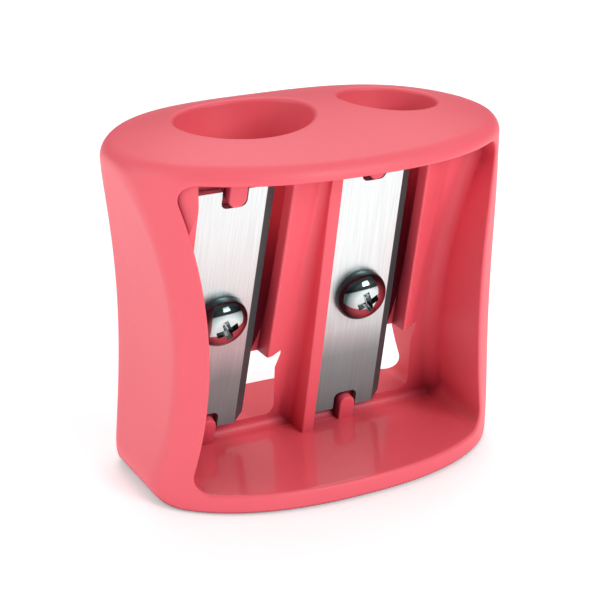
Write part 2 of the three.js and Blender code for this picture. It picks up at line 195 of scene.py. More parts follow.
def crossing(inside, direction, reach):
    """How far along each direction the shell's surface lies, by halving the interval."""
    low, high = np.zeros(direction.shape[:-1]), np.full(direction.shape[:-1], reach)
    for _ in range(44):
        middle = (low + high) / 2
        point = inside + direction * middle[..., None]
        outside = shell_distance(point[..., 0], point[..., 1], point[..., 2]) > 0
        low, high = np.where(outside, low, middle), np.where(outside, middle, high)
    return (low + high) / 2


def ring_sections():
    """Points of the shell's surface for each station round the bay and step round its section."""
    angle = np.arange(STATIONS) * 2 * math.pi / STATIONS
    radial = np.stack([np.cos(angle), np.zeros(STATIONS), np.sin(angle)], 1)
    centre = np.array([0, 0, BAY_CENTRE])
    reach = np.linspace(6, 26, 2001)
    line = centre + radial[:, None, :] * reach[None, :, None]
    solid = shell_distance(line[..., 0], line[..., 1], line[..., 2]) < 0
    inner = reach[solid.argmax(1)]
    outer = reach[len(reach) - 1 - solid[:, ::-1].argmax(1)]
    middle = centre + radial * ((inner + outer) / 2)[:, None]
    turn = np.arange(FINE) * 2 * math.pi / FINE
    across = np.sign(np.cos(turn)) * np.abs(np.cos(turn)) ** 0.6
    deep = np.sign(np.sin(turn)) * np.abs(np.sin(turn)) ** 0.6
    half = (outer - inner) / 2
    depth = np.full(STATIONS, 8.0)
    direction = (radial[:, None, :] * (across[None, :] * half[:, None])[..., None]
                 + np.array([0, 1.0, 0]) * (deep[None, :] * depth[:, None])[..., None])
    direction /= np.linalg.norm(direction, axis=2, keepdims=True)
    surface = middle[:, None, :] + direction * crossing(middle[:, None, :], direction, 30.0)[..., None]
    return spread(surface)


def spread(surface):
    """Picks SECTION points of each fine section, by its length and by how far it has turned."""
    closed = np.concatenate([surface, surface[:, :1]], 1)
    step = np.diff(closed, axis=1)
    length = np.linalg.norm(step, axis=2)
    heading = step / np.maximum(length, 1e-9)[..., None]
    bend = np.arccos(np.clip((heading * np.roll(heading, 1, axis=1)).sum(2), -1, 1))
    measure = length / length.sum(1, keepdims=True) + 1.1 * bend / bend.sum(1, keepdims=True)
    total = np.concatenate([np.zeros((len(surface), 1)), np.cumsum(measure, 1)], 1)
    picked = np.empty((len(surface), SECTION, 3))
    for i in range(len(surface)):
        share = np.arange(SECTION) * total[i, -1] / SECTION
        for axis in range(3):
            picked[i, :, axis] = np.interp(share, total[i], closed[i, :, axis])
    return picked


def spun_ring(sections):
    """A torus from a circle spun round the bay, with each point moved to its place in sections."""
    bm = bmesh.new()
    bmesh.ops.create_circle(bm, segments=SECTION, radius=1)
    bmesh.ops.translate(bm, verts=bm.verts, vec=(10, 0, 0))
    bmesh.ops.spin(bm, geom=bm.verts[:] + bm.edges[:], cent=(0, 0, 0), axis=(0, -1, 0), dvec=(0, 0, 0),
                   angle=2 * math.pi, steps=STATIONS, use_merge=True, use_duplicate=False)
    for vert in bm.verts:
        x, y, z = vert.co
        station = round(math.atan2(z, x) / (2 * math.pi) * STATIONS) % STATIONS
        step = round(math.atan2(y, math.hypot(x, z) - 10) / (2 * math.pi) * SECTION) % SECTION
        vert.co = sections[station, step]
    bmesh.ops.recalc_face_normals(bm, faces=bm.faces)
    return bm


# %% [markdown]
# ## Helpers for pieces
#
# A piece is drawn in millimetres and stored in metres, with its object at the origin, as the
# frame's own nodes are. Edges sharper than a set angle stay crisp, and the rest is shaded smooth.

# %% Pieces, cutters and joins
def add_piece(name, bm, sharp=35):
    """Links a bmesh drawn in millimetres as an object in metres."""
    for face in bm.faces:
        face.smooth = True
    for edge in bm.edges:
        edge.smooth = len(edge.link_faces) == 2 and edge.calc_face_angle(0) < math.radians(sharp)
    bmesh.ops.scale(bm, verts=bm.verts, vec=(MM, MM, MM))
    mesh = bpy.data.meshes.new(name)
    bm.to_mesh(mesh)
    bm.free()
    piece = bpy.data.objects.new(name, mesh)
    bpy.context.scene.collection.objects.link(piece)
    return piece


def volume(mesh):
    bm = bmesh.new()
    bm.from_mesh(mesh)
    inside = bm.calc_volume(signed=True) / MM ** 3
    bm.free()
    return inside


def combine(piece, other, operation):
    """Cuts, joins or trims a piece with another, which is used up."""
    modifier = piece.modifiers.new(operation, "BOOLEAN")
    modifier.operation = operation
    modifier.solver = "MANIFOLD"
    modifier.object = other
    bpy.context.view_layer.update()
    evaluated = piece.evaluated_get(bpy.context.evaluated_depsgraph_get())
    mesh = bpy.data.meshes.new_from_object(evaluated)
    piece.modifiers.clear()
    piece.data = mesh
    print(f"{piece.name}: {operation.lower()} {other.name}, {volume(mesh):.1f} mm3")
    bpy.data.objects.remove(other)
    return piece


def sharpen(piece, sharp=35):
    """Marks the creases that a join has made, and merges what it left double."""
    bm = bmesh.new()
    bm.from_mesh(piece.data)
    bmesh.ops.remove_doubles(bm, verts=bm.verts, dist=0.0004 * MM)
    # A join can leave a triangle that hangs by one edge. It has two free edges, and goes.
    stray = [f for f in bm.faces if sum(e.is_boundary for e in f.edges) > 1]
    bmesh.ops.delete(bm, geom=stray, context="FACES")
    for face in bm.faces:
        face.smooth = True
    for edge in bm.edges:
        edge.smooth = len(edge.link_faces) == 2 and edge.calc_face_angle(0) < math.radians(sharp)
    bm.to_mesh(piece.data)
    open_edges = sum(len(edge.link_faces) != 2 for edge in bm.edges)
    print(piece.name, len(bm.verts), "points,", open_edges, "open edges")
    bm.free()
    return piece


def block(low, high, matrix=None, round_edges=0.0, segments=3):
    """A box between two corners, its edges rounded, set in a unit's tilted frame if one is given."""
    bm = bmesh.new()
    bmesh.ops.create_cube(bm, size=1)
    size = [b - a for a, b in zip(low, high)]
    bmesh.ops.scale(bm, verts=bm.verts, vec=size)
    bmesh.ops.translate(bm, verts=bm.verts, vec=[(a + b) / 2 for a, b in zip(low, high)])
    if round_edges:
        bmesh.ops.bevel(bm, geom=bm.edges[:], offset=round_edges, offset_type="OFFSET", affect="EDGES",
                        segments=segments, profile=0.5, material=-1, clamp_overlap=True)
    if matrix:
        bmesh.ops.transform(bm, matrix=matrix, verts=bm.verts)
    return bm


def turned(points, steps=96):
    """A solid of revolution about Z from a chain of (radius, height) points that ends on the axis."""
    bm = bmesh.new()
    chain = [bm.verts.new((radius, 0, height)) for radius, height in points]
    edges = [bm.edges.new(pair) for pair in zip(chain, chain[1:])]
    bmesh.ops.spin(bm, geom=chain + edges, cent=(0, 0, 0), axis=(0, 0, 1), dvec=(0, 0, 0),
                   angle=2 * math.pi, steps=steps, use_merge=True, use_duplicate=False)
    bmesh.ops.remove_doubles(bm, verts=bm.verts, dist=1e-4)
    bmesh.ops.recalc_face_normals(bm, faces=bm.faces)
    return bm


def prism(outline, depth):
    """A flat outline in X and Z, extruded along Y from front to back."""
    bm = bmesh.new()
    face = bm.faces.new([bm.verts.new((x, depth[0], z)) for x, z in outline])
    lifted = bmesh.ops.extrude_face_region(bm, geom=[face])["geom"]
    verts = [g for g in lifted if isinstance(g, bmesh.types.BMVert)]
    bmesh.ops.translate(bm, verts=verts, vec=(0, depth[1] - depth[0], 0))
    bmesh.ops.recalc_face_normals(bm, faces=bm.faces)
    return bm


# %% [markdown]
# ## Pencil holes
#
# Each hole is a straight guide that turns into the sharpening cone. Its mouth has a soft lip, so
# the cutter that makes it opens like a trumpet where it leaves the dome, and its lip is dropped
# to follow the dome's fall on every side of the hole.

# %% Cut the holes in the shell
LIP = 0.38
LIP_STEPS = 6


def hole_cutter(unit, wall=0.0):
    """The space of one hole, or the plastic around it when a wall is given."""
    slope = math.tan(unit.tilt)
    radius = unit.radius
    shoulder = unit.apex + radius / slope
    points = [(0, unit.apex - wall / slope), (radius + wall, shoulder)]
    if wall:
        top = PLATE_UNDERSIDE + 0.5
        points += [(radius + wall, top), (0, top)]
        return turned(points)
    rim = float(top_height(unit.x, 0))
    for i in range(LIP_STEPS + 1):
        turn = i / LIP_STEPS * math.radians(80)
        points.append((radius + LIP * (1 - math.cos(turn)), rim - LIP + LIP * math.sin(turn)))
    points += [(radius + LIP + 1.5, rim + 0.25), (radius + LIP + 1.5, rim + 3), (0, rim + 3)]
    bm = turned(points, 128)
    for vert in bm.verts:
        if vert.co.z > rim - 2 * LIP and math.hypot(vert.co.x, vert.co.y) > radius / 2:
            vert.co.z += float(top_height(vert.co.x + unit.x, vert.co.y)) - rim
    return bm


def placed(bm, x):
    bmesh.ops.translate(bm, verts=bm.verts, vec=(x, 0, 0))
    return bm


shell = add_piece("moulding", spun_ring(ring_sections()), 60)

# %% [markdown]
# ## Webs, cones and guards
#
# Behind each blade runs a tilted web, and the blade lies flat on it. The sharpening cone stands
# behind the web, and a slot beside the cutting edge lets the shavings out past a raised guard.
# They are simple blocks and cones in the blade's own frame, joined and cut as the mould would.

# %% Build the inserts of each unit
REACH = 60.0
EMBED = 0.5
WINDOW_SILL, WINDOW_RIGHT, WINDOW_LEFT, WINDOW_CORNER = 3.0, 3.05, 1.6, 0.8
PEG_WIDTH, PEG_PROUD, NOTCH_DEPTH, NOTCH_WIDTH = 1.5, 1.15, 1.6, 2.2
BOSS_RADIUS, BOSS_LENGTH, SCREW_DROP = 2.2, 5.6, 12.3
FLARE_SIDE, FLARE_SILL = 0.85, 0.6
FOOT_ROUND, SIDE_ROUND, WALL_ROUND, RIB_SET_BACK = 0.7, 0.9, 1.3, 0.45


def seat_depth(unit, height):
    """Where the seat's plane lies in Y at a height."""
    return -(height - unit.apex) * math.tan(unit.tilt)


def window_cutter(unit):
    """The window under the cone. It flares towards the back, as a moulding's draft does."""
    bm = block((-WINDOW_LEFT, -4, WINDOW_SILL), (WINDOW_RIGHT, 8, CONE_END))
    for vert in bm.verts:
        behind = vert.co.y - seat_depth(unit, vert.co.z)
        if vert.co.x > 0:
            vert.co.x += FLARE_SIDE * behind
        if vert.co.z < CONE_END - 1:
            vert.co.z -= FLARE_SILL * behind
    bmesh.ops.translate(bm, verts=bm.verts, vec=(unit.x, 0, 0))
    corners = [e for e in bm.edges if abs(e.verts[0].co.y - e.verts[1].co.y) > 1
               and min(v.co.z for v in e.verts) < WINDOW_SILL]
    bmesh.ops.bevel(bm, geom=corners, offset=WINDOW_CORNER, offset_type="OFFSET", affect="EDGES",
                    segments=8, profile=0.5, material=-1)
    bmesh.ops.triangulate(bm, faces=bm.faces)
    return bm


def fillet(corners, side, out, radius, steps=8):
    """A round that fills the corner between two faces, swept along the points of that corner."""
    side, out = Vector(side), Vector(out)
    half = side.angle(out) / 2
    reach = radius / math.tan(half)
    middle = (side + out).normalized() * radius / math.sin(half)
    start, end = (side * reach - middle) / radius, (out * reach - middle) / radius
    turn = start.angle(end)
    bm = bmesh.new()
    loops = []
    for corner in corners:
        centre = corner + middle * 0.97
        points = [corner - (side + out) * 0.3]
        for i in range(steps + 1):
            share = i / steps
            way = start * math.sin((1 - share) * turn) + end * math.sin(share * turn)
            points.append(centre + way * radius / math.sin(turn))
        verts = [bm.verts.new(point) for point in points]
        loops.append([bm.edges.new((verts[i - 1], verts[i])) for i in range(len(verts))])
        if corner is corners[0] or corner is corners[-1]:
            bm.faces.new(verts)
    for low, high in zip(loops, loops[1:]):
        bmesh.ops.bridge_loops(bm, edges=low + high)
    bmesh.ops.recalc_face_normals(bm, faces=bm.faces)
    return bm


def seat_corner(unit, wall):
    """The corner line between a seat's plane and a wall whose place in X depends on the height."""
    heights = [FLOOR - 0.4 + (PLATE_UNDERSIDE - FLOOR + 0.8) * i / 24 for i in range(25)]
    return [Vector((wall(z), seat_depth(unit, z), z)) for z in heights]


def right_wall(height):
    radius = SCOOP_RADIUS + END_WALL
    return WAIST / 2 + SCOOP_RADIUS - math.sqrt(radius ** 2 - (height - WAIST_HEIGHT) ** 2)


def foot_fillet(unit, left, right):
    lean = Vector((0, -math.sin(unit.tilt), math.cos(unit.tilt)))
    y = seat_depth(unit, FLOOR)
    return fillet([Vector((left, y, FLOOR)), Vector((right, y, FLOOR))], (0, -1, 0), lean, FOOT_ROUND)


def guard(unit):
    """The raised wall beside the chip slot, sloping down to the web."""
    low, high = unit.along(CONE_END) - 2, unit.along(PLATE_UNDERSIDE) + 2
    foot_low, foot_high = unit.foot
    bm = bmesh.new()
    outline = [(SLOT, 0.5), (SLOT, -GUARD_PROUD), (foot_low, 0), (foot_low, 0.5)]
    face = bm.faces.new([bm.verts.new((x, y, low)) for x, y in outline])
    lifted = bmesh.ops.extrude_face_region(bm, geom=[face])["geom"]
    for vert in [g for g in lifted if isinstance(g, bmesh.types.BMVert)]:
        vert.co.z = high
        if vert.co.x > SLOT + 0.5:
            vert.co.x = foot_high
    nose = [e for e in bm.edges if all(v.co.y < -0.5 for v in e.verts)]
    bmesh.ops.bevel(bm, geom=nose, offset=0.32, offset_type="OFFSET", affect="EDGES",
                    segments=6, profile=0.5, material=-1)
    bmesh.ops.recalc_face_normals(bm, faces=bm.faces)
    bmesh.ops.transform(bm, matrix=unit.matrix, verts=bm.verts)
    return bm


def peg(unit, tip, root):
    """A locating peg with a round tip, for one of the blade's notches."""
    radius = PEG_WIDTH / 2
    down = 1 if root > tip else -1
    centre = tip + down * radius
    outline = [(-radius, root)]
    for i in range(13):
        turn = math.pi * i / 12
        outline.append((-radius * math.cos(turn), centre - down * radius * math.sin(turn)))
    outline.append((radius, root))
    bm = prism(outline, (-PEG_PROUD, EMBED))
    front = [e for e in bm.edges if all(v.co.y < -PEG_PROUD + 0.01 for v in e.verts)]
    bmesh.ops.bevel(bm, geom=front, offset=0.15, offset_type="OFFSET", affect="EDGES",
                    segments=3, profile=0.5, material=-1)
    shift = Matrix.Translation((-BLADE_WIDTH / 2, 0, 0))
    bmesh.ops.transform(bm, matrix=unit.matrix @ shift, verts=bm.verts)
    return bm


def boss(unit):
    """The round post behind the web that the screw bites into."""
    top = unit.along(BLADE_TOP)
    bm = turned([(0, 0), (BOSS_RADIUS, 0), (BOSS_RADIUS, BOSS_LENGTH - 0.3),
                 (BOSS_RADIUS - 0.3, BOSS_LENGTH), (0, BOSS_LENGTH)], 64)
    place = Matrix.Translation((-BLADE_WIDTH / 2, 0, top - SCREW_DROP))
    place = place @ Matrix.Rotation(-math.pi / 2, 4, "X")
    bmesh.ops.transform(bm, matrix=unit.matrix @ place, verts=bm.verts)
    return bm


def bay_block(grow):
    """The bay as a solid, its sides parallel to the scooped ends."""
    low, high = FLOOR - grow, PLATE_UNDERSIDE + grow
    radius = SCOOP_RADIUS + END_WALL - grow
    right = []
    for i in range(41):
        z = low + (high - low) * i / 40
        right.append((WAIST / 2 + SCOOP_RADIUS - math.sqrt(radius ** 2 - (z - WAIST_HEIGHT) ** 2), z))
    return prism(right + [(-x, z) for x, z in reversed(right)], (-12, 12))


def drum_block(inset):
    """The drum's plan as a plain solid, drawn in from the outer surface."""
    bm = bmesh.new()
    bmesh.ops.create_circle(bm, segments=192, radius=1, cap_ends=True)
    for vert in bm.verts:
        c, s = round(vert.co.x, 6), round(vert.co.y, 6)
        vert.co.x = (LENGTH / 2 - inset) * math.copysign(abs(c) ** (2 / PLAN_POWER_X), c)
        vert.co.y = (DEPTH_BOTTOM / 2 - inset) * math.copysign(abs(s) ** (2 / PLAN_POWER_Y), s)
    lifted = bmesh.ops.extrude_face_region(bm, geom=bm.faces[:])["geom"]
    for vert in [g for g in lifted if isinstance(g, bmesh.types.BMVert)]:
        vert.co.z = HEIGHT
        vert.co.y *= (DEPTH_TOP / 2 - inset) / (DEPTH_BOTTOM / 2 - inset)
    bmesh.ops.recalc_face_normals(bm, faces=bm.faces)
    return bm


def keep_above_cone_end(piece):
    """Trims a piece level with the end of its cone."""
    above = block((-REACH, -REACH, CONE_END), (REACH, REACH, REACH))
    combine(piece, add_piece("above", above), "INTERSECT")


def insert(unit, web_right):
    """The web, cone, lip, rib, post and pegs of one unit, trimmed to the bay and the drum."""
    low, high = unit.along(0) - 3, unit.along(HEIGHT)
    rib_right = -BLADE_WIDTH - 0.1
    rib_left = rib_right - RIB if unit is SMALL else -REACH
    top = unit.along(BLADE_TOP)
    notch = NOTCH_DEPTH - 0.3
    name = "body_" + unit.name + "_unit"
    web = block((rib_right - EMBED, 0, low), (web_right - unit.x, WEB, high), unit.matrix)
    piece = add_piece(name, web)
    cone = add_piece("cone", placed(hole_cutter(unit, CONE_WALL), unit.x))
    behind = block((-REACH, 0.01, -REACH), (REACH, REACH, REACH), unit.matrix)
    combine(cone, add_piece("behind", behind), "INTERSECT")
    keep_above_cone_end(cone)
    combine(piece, cone, "UNION")
    lip = add_piece("lip", guard(unit))
    keep_above_cone_end(lip)
    combine(piece, lip, "UNION")
    combine(piece, add_piece("window", window_cutter(unit)), "DIFFERENCE")
    slot = block((-0.5, -3, 0), (SLOT, WEB / 2, high), unit.matrix)
    combine(piece, add_piece("slot", slot), "DIFFERENCE")
    rib = block((rib_left, -RIB_PROUD, low), (rib_right, RIB_BACK, high), unit.matrix, 0.12)
    combine(piece, add_piece("rib", rib), "UNION")
    combine(piece, add_piece("boss", boss(unit)), "UNION")
    combine(piece, add_piece("peg", peg(unit, top - notch, high)), "UNION")
    combine(piece, add_piece("peg", peg(unit, top - BLADE_LENGTH + notch, low)), "UNION")
    right = divider_left if unit is LARGE else LENGTH / 2
    combine(piece, add_piece("foot", foot_fillet(unit, unit.x + rib_right - 0.2, right)), "UNION")
    if unit is LARGE:
        corner = fillet(seat_corner(unit, lambda z: divider_left), (-1, 0, 0), (0, -1, 0), SIDE_ROUND)
    else:
        corner = fillet(seat_corner(unit, right_wall), (-1, 0, 0), (0, -1, 0), WALL_ROUND)
    combine(piece, add_piece("corner", corner), "UNION")
    combine(piece, add_piece("bay", bay_block(EMBED)), "INTERSECT")
    combine(piece, add_piece("drum", drum_block(RIB_SET_BACK)), "INTERSECT")
    return piece


divider_left = SMALL.x - BLADE_WIDTH - 0.1 - RIB
for unit, web_right in ((LARGE, divider_left + RIB / 2), (SMALL, LENGTH / 2)):
    combine(shell, insert(unit, web_right), "UNION")
for unit in UNITS:
    combine(shell, add_piece("hole", placed(hole_cutter(unit), unit.x)), "DIFFERENCE")
sharpen(shell, 30)

# %% [markdown]
# ## Blades
#
# Each blade is a strip of hardened steel, 24 mm long and 0.55 mm thick, stamped with a notch in
# each end and a hole for its screw. One long edge is ground to a bevel, and that edge shaves the
# wood. Stamping leaves a flat outline, so the outline is drawn once, raised to the strip's
# thickness and ground with a slanted cutter. Then it is laid on its seat, tilted like the cone.

# %% Blades
BEVEL, EDGE_LAND, CHAMFER, NOTCH_ROUND, HOLE_RADIUS = 0.9, 0.05, 0.6, 0.55, 1.5
SEAT_GAP = 0.05


def blade_outline(unit):
    """One blade's outline in its seat's frame, the cutting edge at x = 0."""
    top = unit.along(BLADE_TOP)
    bottom = top - BLADE_LENGTH
    middle, half = -BLADE_WIDTH / 2, NOTCH_WIDTH / 2

    def notch(end, way):
        floor = end + way * (NOTCH_DEPTH - NOTCH_ROUND)
        points = []
        for side, start in ((-1, math.pi), (1, math.pi / 2)):
            for i in range(7):
                turn = start - i / 6 * math.pi / 2
                points.append((middle + side * (half - NOTCH_ROUND) + NOTCH_ROUND * math.cos(turn),
                               floor + way * NOTCH_ROUND * math.sin(turn)))
        return [(middle - half, end)] + points + [(middle + half, end)]

    lower = [(-BLADE_WIDTH, bottom)] + notch(bottom, 1) + [(-BEVEL, bottom), (0, bottom + CHAMFER)]
    upper = [(0, top - CHAMFER), (-BEVEL, top)] + notch(top, -1)[::-1] + [(-BLADE_WIDTH, top)]
    return lower + upper


def blade(unit):
    """A stamped strip with its cutting edge ground and its screw hole punched."""
    piece = add_piece("blade_plate_" + unit.name, prism(blade_outline(unit), (-BLADE_THICKNESS, 0)))
    ground = [(-BEVEL, -BLADE_THICKNESS), (3, -BLADE_THICKNESS - 3), (3, -EDGE_LAND), (0, -EDGE_LAND)]
    bm = bmesh.new()
    face = bm.faces.new([bm.verts.new((x, y, -REACH)) for x, y in ground])
    lifted = bmesh.ops.extrude_face_region(bm, geom=[face])["geom"]
    bmesh.ops.translate(bm, verts=[g for g in lifted if isinstance(g, bmesh.types.BMVert)],
                        vec=(0, 0, 2 * REACH))
    bmesh.ops.recalc_face_normals(bm, faces=bm.faces)
    combine(piece, add_piece("ground", bm), "DIFFERENCE")
    hole = turned([(0, -3), (HOLE_RADIUS, -3), (HOLE_RADIUS, 3), (0, 3)], 64)
    place = Matrix.Translation((-BLADE_WIDTH / 2, 0, unit.along(BLADE_TOP) - SCREW_DROP))
    bmesh.ops.transform(hole, matrix=place @ Matrix.Rotation(math.pi / 2, 4, "X"), verts=hole.verts)
    combine(piece, add_piece("hole", hole), "DIFFERENCE")
    piece.data.transform(Matrix.Scale(MM, 4) @ unit.matrix @ Matrix.Translation((0, -SEAT_GAP, 0))
                         @ Matrix.Scale(1 / MM, 4))
    return sharpen(piece, 20)


blades = [blade(unit) for unit in UNITS]
print("blades laid on their seats:", [piece.name for piece in blades])

# %% [markdown]
# ## Screws
#
# A short domed screw clamps each blade. Its head is upset and plated, so it is round, and a punch
# leaves a cross recess that narrows with depth. A profile turned about the screw's axis gives the
# head and the shank, and two tapered arms cut the recess.

# %% Screws
HEAD_RADIUS, HEAD_HEIGHT, HEAD_SKIRT = 2.25, 1.7, 0.3
SHANK_RADIUS, SHANK_LENGTH, SHANK_TIP = 1.2, 5.2, 0.9
RECESS_WIDTH, RECESS_SPAN, RECESS_DEPTH = 0.95, 3.1, 1.0


def screw(unit):
    """A domed head on a pointed shank, with a cross recess, set through the blade's hole."""
    points = [(0, -SHANK_LENGTH), (SHANK_RADIUS / 2, -SHANK_LENGTH),
              (SHANK_RADIUS, SHANK_TIP - SHANK_LENGTH),
              (SHANK_RADIUS, 0), (HEAD_RADIUS - 0.1, 0), (HEAD_RADIUS, 0.1)]
    for i in range(15):
        turn = i / 14 * math.pi / 2
        points.append((HEAD_RADIUS * math.cos(turn),
                       HEAD_SKIRT + (HEAD_HEIGHT - HEAD_SKIRT) * math.sin(turn)))
    points[-1] = (0, HEAD_HEIGHT)
    piece = add_piece("screw_" + unit.name + "_fine", turned(points, 96), 40)
    for turn in (0, math.pi / 2):
        arm = block((-RECESS_SPAN / 2, -RECESS_WIDTH / 2, HEAD_HEIGHT - RECESS_DEPTH),
                    (RECESS_SPAN / 2, RECESS_WIDTH / 2, HEAD_HEIGHT + 2),
                    Matrix.Rotation(turn + 0.35, 4, "Z"))
        for vert in arm.verts:
            if vert.co.z < HEAD_HEIGHT:
                vert.co.x *= 0.45
                vert.co.y *= 0.5
        combine(piece, add_piece("arm", arm), "DIFFERENCE")
    place = Matrix.Translation((-BLADE_WIDTH / 2, -BLADE_THICKNESS - 2 * SEAT_GAP,
                                unit.along(BLADE_TOP) - SCREW_DROP))
    piece.data.transform(Matrix.Scale(MM, 4) @ unit.matrix @ place @ Matrix.Rotation(math.pi / 2, 4, "X")
                         @ Matrix.Scale(1 / MM, 4))
    return sharpen(piece, 40)


screws = [screw(unit) for unit in UNITS]
print("screws set in their blades:", [piece.name for piece in screws])

# %% [markdown]
# ## Shader maths
#
# Every finish is worked out from the piece's own coordinates, so nothing has to be unwrapped. A
# small wrapper lets a socket be added and multiplied like a number, and one method makes any
# other node.

# %% Shader helper
class Node:
    """A socket that can be added, multiplied and so on, with a Math node for each step."""

    def __init__(self, tree, socket):
        self.tree, self.socket = tree, socket

    def make(self, kind, settings=None, **inputs):
        node = self.tree.nodes.new(kind)
        for key, value in (settings or {}).items():
            if key == "stops":
                ramp = node.color_ramp
                ramp.elements.remove(ramp.elements[1])
                for i, (place, colour) in enumerate(value):
                    stop = ramp.elements[0] if i == 0 else ramp.elements.new(place)
                    stop.position, stop.color = place, (*colour, 1)
            else:
                setattr(node, key, value)
        for key, value in inputs.items():
            name = int(key[1:]) if key[0] == "_" and key[1:].isdigit() else key.replace("_", " ")
            if isinstance(value, Node):
                self.tree.links.new(value.socket, node.inputs[name])
            else:
                node.inputs[name].default_value = value
        return node

    def out(self, node, name=0):
        return Node(self.tree, node.outputs[name])

    def math(self, operation, other, flipped=False):
        a, b = (other, self) if flipped else (self, other)
        return self.out(self.make("ShaderNodeMath", {"operation": operation}, _0=a, _1=b))

    def __add__(self, other):
        return self.math("ADD", other)

    def __radd__(self, other):
        return self.math("ADD", other)

    def __sub__(self, other):
        return self.math("SUBTRACT", other)

    def __rsub__(self, other):
        return self.math("SUBTRACT", other, True)

    def __mul__(self, other):
        return self.math("MULTIPLY", other)

    def __rmul__(self, other):
        return self.math("MULTIPLY", other)


def new_material(name):
    material = bpy.data.materials.new(name)
    material.use_nodes = True
    tree = material.node_tree
    shader = tree.nodes["Principled BSDF"]
    place = tree.nodes.new("ShaderNodeTexCoord")
    return material, shader, Node(tree, place.outputs["Object"])


def ramp(source, *stops):
    """A colour ramp over a value, from stops of (place, grey or colour)."""
    stops = [(place, (tone,) * 3 if isinstance(tone, float) else tone) for place, tone in stops]
    return source.out(source.make("ShaderNodeValToRGB", {"stops": stops}, Fac=source), "Color")


# %% [markdown]
# ## Coral plastic
#
# The moulding is coloured through and comes out of a finely textured tool, so it is satin all
# over. The slots and corners are painted a deep red as painted shade: a ramp over the openness
# of the surface darkens the colour there. The floor of the bay is polished in the tool, and there
# a thin coat mirrors the blades and pegs.

# %% Coral plastic
# How far the painted shade's openness looks, and where the polished floor ends: above it and behind it.
PAINTED_SHADE_REACH, POLISH_RISE, POLISH_BACK, FACES_UP = 7.0, 0.3, 1.2, 0.9


def plastic():
    """Coral plastic: fine grain, painted shade deeper in its slots and corners, and polished on the
    bay's floor.
    """
    material, shader, place = new_material("coral_plastic")
    cloud = place.out(place.make("ShaderNodeTexNoise", Vector=place, Scale=90.0, Detail=2.0))
    grain = place.out(place.make("ShaderNodeTexNoise", Vector=place, Scale=2600.0, Detail=3.0))
    # Painted shade: the less open the surface, the deeper red its colour is painted.
    painted_shade_openness = place.make("ShaderNodeAmbientOcclusion", {"samples": 8}, Distance=PAINTED_SHADE_REACH * MM)
    tint = ramp(cloud, (0.3, (0.86, 0.120, 0.155)), (0.7, (0.89, 0.130, 0.167)))
    shade = ramp(place.out(painted_shade_openness, "AO"), (0.05, (0.10, 0.02, 0.07)), (0.25, (0.40, 0.20, 0.36)),
                 (0.42, (0.88, 0.78, 0.90)), (0.60, 1.0))
    parts = place.make("ShaderNodeSeparateXYZ", None, Vector=place)
    low = place.out(parts, "Z").math("LESS_THAN", (FLOOR + POLISH_RISE) * MM)
    front = place.out(parts, "Y").math("LESS_THAN", POLISH_BACK * MM)
    normal = place.out(place.make("ShaderNodeNewGeometry"), "Normal")
    facing = place.make("ShaderNodeSeparateXYZ", None, Vector=normal)
    level = place.out(facing, "Z").math("GREATER_THAN", FACES_UP)
    polished = low * front * level
    # The painted shade multiplies the tint, and is mostly left off the polished floor.
    mixed = place.make("ShaderNodeMix", {"data_type": "RGBA", "blend_type": "MULTIPLY"},
                       _0=1.0 - polished * 0.9, _6=tint, _7=shade)
    place.tree.links.new(mixed.outputs[2], shader.inputs["Base Color"])
    rough = 0.40 + grain * 0.10 - polished * 0.26
    place.tree.links.new(rough.socket, shader.inputs["Roughness"])
    coat = polished * 0.35
    place.tree.links.new(coat.socket, shader.inputs["Coat Weight"])
    bump = place.make("ShaderNodeBump", None, Strength=0.05, Distance=0.00002, Height=grain)
    place.tree.links.new(bump.outputs["Normal"], shader.inputs["Normal"])
    shader.inputs["IOR"].default_value = 1.42
    shader.inputs["Coat Roughness"].default_value = 0.06
    shader.inputs["Coat IOR"].default_value = 1.5
    return material


coral = plastic()
print("made", coral.name)
